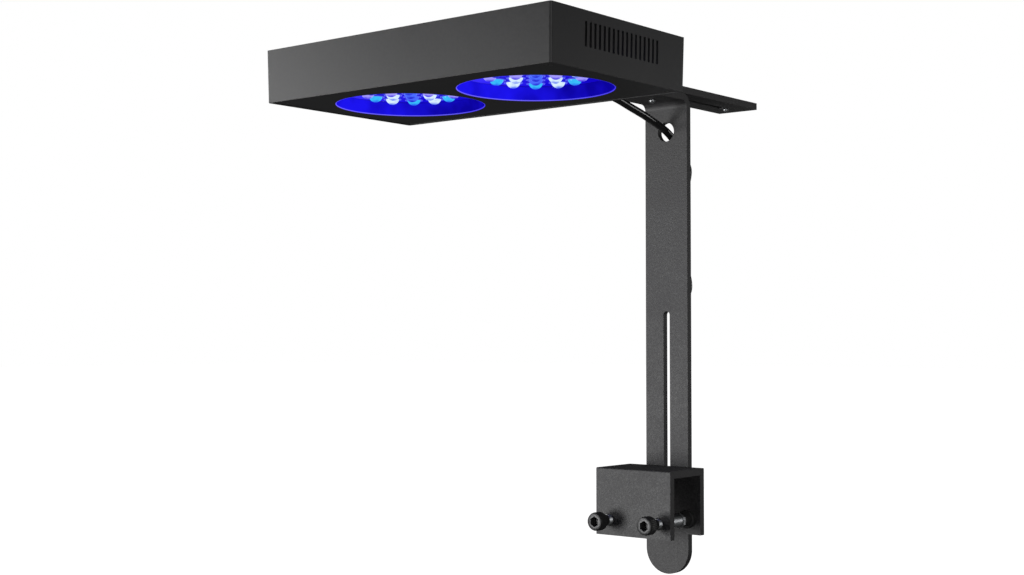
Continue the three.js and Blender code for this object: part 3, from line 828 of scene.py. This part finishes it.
@dataclass(frozen=True)
class RimClamp:
    """The channel that sits on the tank's rim, with its screws and pads."""

    edge: float = 0.7
    screw_radius: float = 4.0
    screw_head_radius: float = 6.5
    screw_head_depth: float = 8.0
    screw_socket: float = 6.4
    screw_pitch: float = 1.25
    # Painted shade: the first 5.2 mm of each clamp screw's shank is plain and dark, standing in for
    # the head's shadow.
    painted_shadow_shoulder: float = 5.2
    nut_width: float = 9.6
    pad_hub_radius: float = 4.4
    pad_disc: float = 2.9
    lock_head_radius: float = 4.25
    lock_head_depth: float = 5.0
    lock_radius: float = 2.4

    def build(self) -> None:
        """Build the clamp and what is screwed into it."""
        dress("clamp_channel", POWDER, self.edge)
        for side in ("left", "right"):
            self._pressure_screw(side)
            self._pressure_pad(side)
        for level in ("upper", "lower"):
            SocketScrew(
                f"lock_screw_{level}", "clamp", Head.CAP, Facing.FAR, BLACK_OXIDE,
                self.lock_head_radius, self.lock_head_depth, self.lock_radius,
                pitch=0.8, socket=4.0,
            ).build()
            Washer(
                f"lock_washer_{level}", "clamp", Facing.FAR, BLACK_OXIDE, self.lock_radius + 0.2
            ).build()

    def _pressure_screw(self, side: str) -> None:
        """Build one clamp screw, bright in its thread and dark in its plain shoulder as painted
        shade of the head, with its jam nut.
        """
        SocketScrew(
            f"clamp_screw_{side}", f"{side}_screw", Head.CAP, Facing.NEAR, BLACK_OXIDE,
            self.screw_head_radius, self.screw_head_depth, self.screw_radius,
            self.screw_pitch, self.screw_socket, ZINC, self.painted_shadow_shoulder,
        ).build()
        HexNut(
            f"jam_nut_{side}", f"{side}_screw", Facing.NEAR, ZINC, self.nut_width,
            self.screw_radius + AIR,
        ).build()

    def _pressure_pad(self, side: str) -> None:
        """Build one round pad: a hub on the screw's end and a disc with a dished face."""
        node = f"pressure_pad_{side}"
        low, high = box_mm(node)
        middle = (low + high) / 2
        radius = (high.x - low.x) / 2
        thickness = high.y - low.y
        rings = [
            (disc(1.0), 0.5),
            (disc(radius - 1.6), 0.45),
            (disc(radius - 1.2), 0.0),
            (disc(radius - 0.7), 0.0),
            (disc(radius - 0.2), 0.25),
            (disc(radius), 0.8),
            (disc(radius), self.pad_disc - 0.9),
            (disc(radius - 0.25), self.pad_disc - 0.35),
            (disc(radius - 0.7), self.pad_disc - 0.05),
            (disc(self.pad_hub_radius), self.pad_disc),
            (disc(self.pad_hub_radius - 0.1), self.pad_disc + 0.4),
            (disc(self.pad_hub_radius), thickness - 0.8),
            (disc(self.pad_hub_radius - 0.6), thickness),
            (disc(1.0), thickness),
        ]
        pad = turned_piece(
            f"{node}_moulded", rings, Facing.FAR, Vector((middle.x, high.y, middle.z)), 64
        )
        settle(pad, f"{side}_pad", RUBBER, [node])


@dataclass(frozen=True)
class PostAndArm:
    """The bent post, the slotted bar that slides on it, and their fasteners."""

    edge: float = 0.4
    flange_head_radius: float = 2.6
    flange_head_depth: float = 1.8
    flange_radius: float = 1.6
    flange_nut_width: float = 6.0
    stop_head_radius: float = 2.2
    stop_head_depth: float = 1.5
    bar_head_radius: float = 4.0
    bar_head_depth: float = 2.2

    def build(self) -> None:
        """Build the post, the bar and every screw that holds them."""
        dress("post_bracket", POWDER, self.edge)
        dress("arm_bar", POWDER, self.edge)
        for place in ("rear", "front"):
            SocketScrew(
                f"flange_screw_{place}", "post", Head.BUTTON, Facing.DOWN, ZINC,
                self.flange_head_radius, self.flange_head_depth, self.flange_radius,
                pitch=0.5, socket=1.6,
            ).build()
            Washer(
                f"flange_washer_{place}", "post", Facing.UP, BLACK_OXIDE, self.flange_radius + 0.2
            ).build()
            HexNut(
                f"flange_nut_{place}", "post", Facing.UP, BLACK_OXIDE, self.flange_nut_width,
                self.flange_radius + AIR,
            ).build()
        SocketScrew(
            "stop_screw", "head", Head.BUTTON, Facing.DOWN, ZINC,
            self.stop_head_radius, self.stop_head_depth, shank_radius=1.3, pitch=0.5, socket=1.4,
        ).build()
        for number in (1, 2, 3):
            SocketScrew(
                f"bar_screw_{number}", "head", Head.FLAT, Facing.UP, BLACK_OXIDE,
                self.bar_head_radius, self.bar_head_depth, shank_radius=2.0, pitch=0.7, socket=2.5,
            ).build()


class Diode(Enum):
    """The colours of the diodes under the lenses: name, deep and bright."""

    WHITE = ("white", "#5a78f4", "#dcf2ff")
    CYAN = ("cyan", "#2450f0", "#38c0fa")
    VIOLET = ("violet", "#3a26e4", "#a49cff")
    ROYAL = ("royal", "#1c14d0", "#4a6cff")


@dataclass(frozen=True)
class LightWell:
    """One round window: its rim, dished reflector, lens sheet and lens units."""

    side: str
    rim_radius: float = 47.85
    rim_inner: float = 47.4
    rim_low: float = 246.35
    plate_top: float = 248.1
    ceiling_radius: float = 45.1
    ceiling: float = 254.8
    wall: float = 1.1
    swell: float = 0.2
    dome_radius: float = 4.5
    dome_drop: float = 4.55
    collar_radius: float = 6.2
    turn: float = 8.5  # degrees
    rings: tuple[float, ...] = (0.0, 13.8, 27.6)  # their radii: one, six and twelve lenses

    def build(self) -> None:
        """Build the window from its rim inwards."""
        low, high = box_mm(f"reflector_{self.side}")
        middle = (low + high) / 2
        centre = Vector((middle.x, middle.y, 0))
        self._rim(centre)
        self._reflector(centre)
        self._lenses(centre)

    def _rim(self, centre: Vector) -> None:
        """Build the thin lit edge of the reflector."""
        z = self.rim_low
        rings = [
            (disc(self.rim_inner), z + 0.55),
            (disc(self.rim_inner), z + 0.12),
            (disc(self.rim_inner + 0.12), z),
            (disc(self.rim_radius - 0.1), z),
            (disc(self.rim_radius), z + 0.12),
            (disc(self.rim_radius), z + 0.55),
        ]
        piece = turned_piece(f"well_rim_{self.side}", rings, Facing.DOWN, centre, 160, hollow=True)
        # The moulded lip catches the light from inside, so it shows as a pale violet line.
        glow = Glow(
            f"lit_lip_{self.side}", "blue_reflector", "#3a2cf0", "#6f62ff", Across.X,
            centre.x + 50, centre.x - 50, mottle=0.1,
        )
        settle(piece, "head", glow)

    def _reflector(self, centre: Vector) -> None:
        """Build the dished wall, with the collar that seats it on the face plate."""
        z0 = self.rim_low + 0.6
        steps = 10
        inner = []
        for i in range(steps + 1):
            share = i / steps
            cone = self.rim_inner + (self.ceiling_radius - self.rim_inner) * share
            radius = cone + self.swell * math.sin(math.pi * share)
            inner.append((disc(radius), z0 + (self.ceiling - z0) * share))
        outer = [
            (disc(self.ceiling_radius + self.wall), self.ceiling),
            (disc(self.rim_radius + 1.3), self.plate_top + 1.4),
            (disc(self.rim_radius + 2.1), self.plate_top + 1.3),
            (disc(self.rim_radius + 2.1), self.plate_top + 0.3),
            (disc(self.rim_radius), self.plate_top + 0.2),
            (disc(self.rim_radius), z0),
        ]
        piece = turned_piece(
            f"reflector_{self.side}_dish", inner + outer, Facing.DOWN, centre, 160, hollow=True
        )
        # Vacuum-coated acrylic dish, flooded by the blue diodes; deeper away from the left.
        glow = Glow(
            f"lit_dish_{self.side}", "blue_reflector", "#0a029c", "#1c14f0", Across.X,
            centre.x + 5, centre.x - 54, mottle=0.3, patch=16, roughness=0.6, specular=0.0,
        )
        settle(piece, "head", glow, [f"reflector_{self.side}"])

    def _lens_places(self) -> list[tuple[Vector, Diode]]:
        """List each lens's offset from the well's middle, and its diode."""
        white, cyan, violet, royal = Diode
        diodes = (
            (royal,),
            (violet, white, royal, white, violet, royal),
            (white, violet, cyan, white, cyan, white, cyan, violet, royal, cyan, white, royal),
        )
        places = []
        for reach, ring in zip(self.rings, diodes):
            for i, diode in enumerate(ring):
                angle = math.radians(self.turn) + 2 * math.pi * i / len(ring)
                offset = Vector((math.cos(angle), math.sin(angle), 0)) * reach
                places.append((offset, diode))
        return places

    def _lenses(self, centre: Vector) -> None:
        """Build the lens sheet, and on it each moulded collar and dome."""
        base = self.ceiling + 0.3
        radius = self.ceiling_radius + self.wall
        sheet = turned_piece(
            f"lens_sheet_{self.side}",
            [(disc(radius - 0.2), base), (disc(radius), base + 0.2), (disc(radius), base + 1.6)],
            Facing.DOWN, centre, 96,
        )
        # Clear acrylic sheet over the board, its blue a painted glow of the diodes' light: deep,
        # paler towards its near side.
        glow = Glow(
            f"lit_sheet_{self.side}", "lens_acrylic", "#0f04b0", "#3c30e0", Across.Y,
            centre.y + 30, centre.y - 20, mottle=0.2, patch=12, roughness=0.07, ior=1.6,
        )
        settle(sheet, "head", glow, [f"lens_array_{self.side}"])
        for number, (offset, diode) in enumerate(self._lens_places(), start=1):
            self._lens(number, centre + offset, base, diode)

    def _lens(self, number: int, centre: Vector, base: float, diode: Diode) -> None:
        """Build one lens unit: the scalloped collar and the dome inside it.

        Args:
            number: The lens's number in the well.
            centre: Its axis.
            base: The height of the sheet's underside.
            diode: The colour under it.
        """
        r, scallops = self.collar_radius, 12

        def scalloped(reach: float, strength: float) -> Radius:
            """Return a circle with shallow lobes."""
            return lambda angle, depth: reach * (
                1 - 0.03 * strength * (1 - math.cos(scallops * angle))
            )

        collar = turned_piece(
            f"lens_collar_{self.side}_{number:02d}",
            [
                (disc(self.dome_radius + 0.05), base - AIR),
                (disc(self.dome_radius + 0.1), base - 0.9),
                (scalloped(r * 0.86, 1), base - 1.5),
                (scalloped(r * 0.95, 1), base - 1.4),
                (scalloped(r, 0.6), base - 0.7),
                (disc(r), base - AIR),
            ],
            Facing.DOWN, centre, 72, hollow=True,
        )
        # Painted glow: the moulded acrylic collar is no lamp but is emissive, paler at its lowest
        # edge and deeper blue above.
        collar_glow = Glow(
            "lens_collar_painted_glow", "lens_acrylic", "#5f66f6", "#1a0cd0", Across.Z,
            base - 1.5, base - 0.9, mottle=0.2, patch=5, roughness=0.4, specular=0.15,
        )
        settle(collar, "head", collar_glow)
        arc = [math.pi / 2 * step / 12 for step in range(1, 13)]
        dome = turned_piece(
            f"lens_dome_{self.side}_{number:02d}",
            [
                (disc(self.dome_radius * math.sin(t)), base - self.dome_drop * math.cos(t))
                for t in arc
            ]
            + [(disc(self.dome_radius), base - AIR)],
            Facing.DOWN, centre, 40,
        )
        name, deep, bright = diode.value
        dome_glow = Glow(
            f"lens_dome_{name}", "lens_acrylic", deep, bright, Across.Z,
            base - self.dome_drop, base - self.dome_drop * 0.72, mottle=0.22, patch=2.4,
            roughness=0.25, specular=0.3,
        )
        settle(dome, "head", dome_glow)


@dataclass(frozen=True)
class LightHead:
    """The case, its face plate and everything inside."""

    case_edge: float = 0.45
    plate_edge: float = 0.15
    inner_edge: float = 0.2

    def build(self) -> None:
        """Build the case, then the windows and what sits behind them."""
        dress("housing", CASE_PAINT, self.case_edge)
        dress("face_plate", CASE_PAINT, self.plate_edge)
        dress("heat_sink", EXTRUDED, self.inner_edge)
        dress("driver_board", GREEN_MASK, self.inner_edge)
        for side in ("left", "right"):
            LightWell(side).build()
            dress(f"led_board_{side}", WHITE_MASK, self.inner_edge)
            dress(f"fan_frame_{side}", NYLON, self.inner_edge)
            dress(f"fan_rotor_{side}", NYLON, self.inner_edge)
        for number in (1, 2, 3, 4):
            SocketScrew(
                f"plate_screw_{number}", "head", Head.FLAT, Facing.DOWN, BLACK_OXIDE,
                head_radius=2.6, head_depth=1.3, shank_radius=1.4, pitch=0.5, socket=1.6,
            ).build()


@dataclass(frozen=True)
class PowerLead:
    """The lead from the head, through the post, to the tied hank and its plug."""

    radius: float = 2.75
    gland_tip: float = -110.6
    gland_height: float = 266.4
    hank_x: float = -11.2
    hank_front: float = 31.8
    hank_middle: float = 179.0
    half_run: float = 43.25
    fold_radius: float = 11.0
    waist: float = 2.85
    waist_flat: float = 8.0
    layers: int = 3
    plug_low: float = 198.0
    plug_x: float = -15.2
    plug_y: float = 53.6
    tie_half: float = 6.0
    length: float = 1.11  # metres, from the head to the plug

    def build(self) -> None:
        """Build the gland, the lead, its tie and its plug."""
        self._gland()
        path = smooth_path(self._route(), spacing=1.6)
        lead = tube_piece("power_lead_cord", path, self.radius)
        lead.data.materials.append(JACKET.material())
        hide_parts("power_lead", "lead_hank", "lead_tail")
        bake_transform(lead)
        pieces = [self._tie(), self._plug_body(), self._plug_barrel()]
        run = sum((b - a).length for a, b in zip(path, path[1:]))
        log.info("power_lead_cord: %s, %.0f mm long", JACKET.name, run)

    def _spread(self, height: float) -> float:
        """Give half the distance between the two bundles, at a height from the waist."""
        share = (abs(height) - self.waist_flat) / (self.half_run - self.waist_flat)
        share = min(max(share, 0.0), 1.0)
        return self.waist + (self.fold_radius - self.waist) * share * share * (3 - 2 * share)

    def _run(self, sign: int, y: float, start: float, end: float) -> list[Sequence[float]]:
        """List the points of one straight run of the hank, its ends included."""
        steps = 8
        points = []
        for i in range(steps + 1):
            height = start + (end - start) * i / steps
            points.append((self.hank_x + sign * self._spread(height), y, self.hank_middle + height))
        return points

    def _fold(self, top: bool, y: float, next_y: float) -> list[Sequence[float]]:
        """List the points between the ends of a fold, over the top or round the foot."""
        steps = 6
        points = []
        for i in range(1, steps):
            turn = math.pi * i / steps
            side = -math.cos(turn) if top else math.cos(turn)
            lift = math.sin(turn) if top else -math.sin(turn)
            end = self.hank_middle + (self.half_run if top else -self.half_run)
            points.append(
                (
                    self.hank_x + side * self.fold_radius,
                    y + (next_y - y) * i / steps,
                    end + lift * self.fold_radius,
                )
            )
        return points

    def _route(self) -> list[Sequence[float]]:
        """List the lead's route: the free stretch, the hank's turns and the tail."""
        tip = self.gland_tip
        route: list[Sequence[float]] = [
            (0, tip - 14, 266.4), (0, tip - 6, 266.4), (0, tip + 0.3, 266.5), (0, -102, 267),
            (0, -88, 267.5), (0, -68.5, 267.4), (0, -54, 266.4), (0, -40.5, 264.6),
            (0, -25, 261), (0, -6.6, 256.8), (0, 8, 252.8), (0, 18, 249.7),
            (0, 24.5, 247), (0.1, 30.2, 243.4), (0.1, 33.4, 239.3),
            (self.hank_x + self.fold_radius, self.hank_front + self.radius, 233.9),
        ]
        h = self.half_run
        for layer in range(self.layers):
            y = self.hank_front + self.radius + 2 * self.radius * layer
            last = layer == self.layers - 1
            next_y = self._tail_y() if last else y + 2 * self.radius
            route += self._run(1, y, h, -h)
            route += self._fold(False, y, y)
            route += self._run(-1, y, -h, h)
            route += self._fold(True, y, next_y)
        route += self._tail()
        return route

    def _tail_y(self) -> float:
        """Give the depth of the last turn, behind the layers."""
        return self.hank_front + 2 * self.radius * self.layers + 0.3 + self.radius

    def _tail(self) -> list[Sequence[float]]:
        """List the last turn's points, down, round the foot and up to the plug."""
        y, h = self._tail_y(), self.half_run
        points = self._run(1, y, h, -h) + self._fold(False, y, y)
        end = self.plug_low - 0.3 - self.hank_middle
        for x, _, z in self._run(-1, y, -h, end - 3):
            share = (z - self.hank_middle - self.tie_half) / (end - 3 - self.tie_half)
            share = min(max(share, 0.0), 1.0)
            lift = (self.plug_y - y) * share * share * (3 - 2 * share)
            points.append((x, y + lift, z))
        points.append((self.plug_x, self.plug_y, self.plug_low + 1))
        return points

    def _gland(self) -> None:
        """Build the tapered strain relief, with its moulded flex rings."""
        low, high = box_mm("cable_gland")
        bore = self.radius + AIR
        length = high.y - low.y
        taper_end, flange, neck = 14.0, 16.6, 19.2
        flange_radius, neck_radius = 4.9, 4.15
        rings: list[tuple[Radius, float]] = [(disc(bore), 0.3), (disc(bore + 0.2), 0.0)]
        for i in range(7):
            depth = 0.5 + i * (taper_end - 0.5) / 7
            radius = 3.5 + 0.75 * depth / taper_end
            rings += [(disc(radius), depth), (disc(radius), depth + 1.05)]
            rings += [(disc(radius - 0.35), depth + 1.25), (disc(radius - 0.35), depth + 1.7)]
        rings += [
            (disc(4.4), taper_end + 0.6),
            (disc(flange_radius), flange),
            (disc(flange_radius), neck),
            (disc(neck_radius), neck + 0.1),
            (disc(neck_radius), length),
            (disc(bore), length),
        ]
        gland = turned_piece(
            "cable_gland_moulded", rings, Facing.FAR,
            Vector((0, high.y, (low.z + high.z) / 2)), 40, hollow=True,
        )
        settle(gland, "head", RUBBER, ["cable_gland"])

    def _tie(self) -> bpy.types.Object:
        """Build the strap round the hank's waist.

        Returns:
            The strap.
        """
        low, high = box_mm("hank_tie")
        middle = (low + high) / 2
        half_x, half_y = (high.x - low.x) / 2, (high.y - low.y) / 2
        strap, height, soft = 1.15, high.z - low.z, 0.35
        outer = rounded_block(half_x, half_y, 7)
        outer_soft = rounded_block(half_x - soft, half_y - soft, 7)
        inner = rounded_block(half_x - strap, half_y - strap, 9)
        rings = [
            (inner, 0.0), (outer_soft, 0.0), (outer, soft),
            (outer, height - soft), (outer_soft, height), (inner, height),
        ]
        tie = turned_piece(
            "hank_strap", rings, Facing.DOWN, Vector((middle.x, middle.y, low.z)), 96, hollow=True
        )
        return settle(tie, "post", RUBBER, ["hank_tie"])

    def _plug_body(self) -> bpy.types.Object:
        """Build the moulded plug, its tail grooved for flex.

        Returns:
            The plug's body.
        """
        low, high = box_mm("plug_body")
        centre = Vector(((low.x + high.x) / 2, (low.y + high.y) / 2, low.z))
        bore = self.radius + AIR
        rings: list[tuple[Radius, float]] = [
            (disc(bore * 0.5), 3.0), (disc(bore), 2.9), (disc(bore), 0.2), (disc(bore + 0.15), 0.0),
        ]
        for i in range(6):
            depth = 0.3 + i * 2.5
            radius = 3.3 + 0.7 * depth / 16
            rings += [(disc(radius), depth), (disc(radius), depth + 1.4)]
            rings += [(disc(radius - 0.3), depth + 1.6), (disc(radius - 0.3), depth + 2.2)]
        rings += [
            (disc(4.05), 15.6), (disc(4.4), 16.4), (disc(4.75), 17.2), (disc(4.9), 18.4),
            (disc(4.9), 24.0), (disc(4.7), 24.4), (disc(4.7), 30.0), (disc(4.9), 30.4),
            (disc(4.9), 36.4), (disc(4.5), 37.6), (disc(4.0), 38.0),
        ]
        body = turned_piece("plug_body_moulded", rings, Facing.DOWN, centre, 48)
        return settle(body, "post", RUBBER, ["plug_body"])

    def _plug_barrel(self) -> bpy.types.Object:
        """Build the plug's bright barrel, open at its end.

        Returns:
            The barrel.
        """
        low, high = box_mm("plug_barrel")
        centre = Vector(((low.x + high.x) / 2, (low.y + high.y) / 2, low.z))
        length = high.z - low.z
        rings = [
            (disc(1.0), 0.0), (disc(2.75), 0.0), (disc(2.75), length - 0.3),
            (disc(2.5), length), (disc(1.4), length), (disc(1.25), length - 0.3),
            (disc(1.25), 1.5),
        ]
        barrel = turned_piece("plug_barrel_turned", rings, Facing.DOWN, centre, 48)
        return settle(barrel, "post", ZINC, ["plug_barrel"])


# -------------------------------------------------------------------- studio


@dataclass(frozen=True)
class SoftBox:
    """One square area light."""

    name: str
    place: tuple[float, float, float]
    size: float
    watts: float
    aim: tuple[float, float, float] = (0.0, -0.12, 0.12)

    def build(self) -> None:
        """Hang the light and turn it to the object."""
        data = bpy.data.lights.new(self.name, "AREA")
        data.size = self.size
        data.energy = self.watts
        light = bpy.data.objects.new(self.name, data)
        light.location = self.place
        facing = Vector(self.aim) - Vector(self.place)
        light.rotation_euler = facing.to_track_quat("-Z", "Y").to_euler()
        bpy.context.scene.collection.objects.link(light)
        log.info("%s: %.1f W", self.name, self.watts)


@dataclass(frozen=True)
class Studio:
    """The pale floor, the soft lights, the plain backdrop and the camera."""

    camera_place: tuple[float, float, float] = (0.6165, -0.9103, 0.0955)
    camera_aim: tuple[float, float, float] = (-0.0161, -0.1366, 0.1303)
    lens: float = 53.72
    floor_drop: float = 0.14  # metres below the post's tip, clear of its lowest setting
    floor_size: float = 30.0
    ambient: float = 0.04

    def build(self) -> None:
        """Build the camera first, then the floor, the backdrop and the lights."""
        self._camera()
        self._floor()
        self._backdrop()
        for light in (
            SoftBox("key_front_left", (-0.58, -1.05, -0.1), size=0.45, watts=9.0),
            SoftBox("strip_left", (-0.72, -0.6, 0.3), size=0.3, watts=2.0),
            SoftBox("fill_right", (1.7, -0.5, 0.5), size=0.8, watts=3.0),
            SoftBox("fill_behind", (-0.5, 1.9, 0.35), size=1.2, watts=1.0),
            SoftBox("edge_near", (1.05, -0.87, 0.1), size=0.25, watts=3.0),
            SoftBox("kick_behind_right", (1.2, 1.5, 0.2), size=0.45, watts=2.4),
        ):
            light.build()
        view = bpy.context.scene.view_settings
        view.view_transform = "Standard"
        view.look = "None"

    def _camera(self) -> None:
        """Set the camera in front, to the right and a little below the head."""
        data = bpy.data.cameras.new("front_right_camera")
        data.lens = self.lens
        data.sensor_width = 36
        data.clip_end = 200
        camera = bpy.data.objects.new("front_right_camera", data)
        camera.location = self.camera_place
        facing = Vector(self.camera_aim) - Vector(self.camera_place)
        camera.rotation_euler = facing.to_track_quat("-Z", "Y").to_euler()
        bpy.context.scene.collection.objects.link(camera)
        bpy.context.scene.camera = camera

    def _floor(self) -> None:
        """Lay the floor, a white sheet bright enough to merge with the backdrop."""
        low = CAD_BOX[0][2] - self.floor_drop
        half = self.floor_size / 2
        mesh = bpy.data.meshes.new("studio_floor")
        corners = [(-half, -half, low), (half, -half, low), (half, half, low), (-half, half, low)]
        mesh.from_pydata(corners, [], [(0, 1, 2, 3)])
        floor = bpy.data.objects.new("studio_floor", mesh)
        bpy.context.scene.collection.objects.link(floor)
        material = bpy.data.materials.new("white_seamless_paper")
        material.use_nodes = True
        shader = material.node_tree.nodes["Principled BSDF"]
        shader.inputs["Base Color"].default_value = linear("#f4f4f4")
        shader.inputs["Roughness"].default_value = 0.9
        shader.inputs["Emission Color"].default_value = linear("#ffffff")
        shader.inputs["Emission Strength"].default_value = 1.0
        mesh.materials.append(material)
        floor.visible_diffuse = False
        floor.visible_glossy = False
        floor.visible_shadow = False

    def _backdrop(self) -> None:
        """Fill the world: white to the eye, a soft grey as light."""
        world = bpy.data.worlds.new("white_cyclorama")
        bpy.context.scene.world = world
        world.use_nodes = True
        tree = world.node_tree
        tree.nodes.clear()
        seen = add_node(tree, "ShaderNodeLightPath").outputs["Is Camera Ray"]
        grey = add_node(
            tree, "ShaderNodeBackground", {"Color": linear("#ffffff"), "Strength": self.ambient}
        ).outputs[0]
        white = add_node(
            tree, "ShaderNodeBackground", {"Color": linear("#ffffff"), "Strength": 1.0}
        ).outputs[0]
        both = add_node(tree, "ShaderNodeMixShader", {0: seen, 1: grey, 2: white}).outputs[0]
        add_node(tree, "ShaderNodeOutputWorld", {"Surface": both})


def main() -> None:
    """Build the camera and the lead first, then the sub-assemblies in order."""
    logging.basicConfig(level=logging.INFO, format="%(name)s %(message)s")
    for assembly in (Studio(), PowerLead(), RimClamp(), PostAndArm(), LightHead()):
        log.info("building %s", type(assembly).__name__)
        assembly.build()


if __name__ == "__main__":
    main()
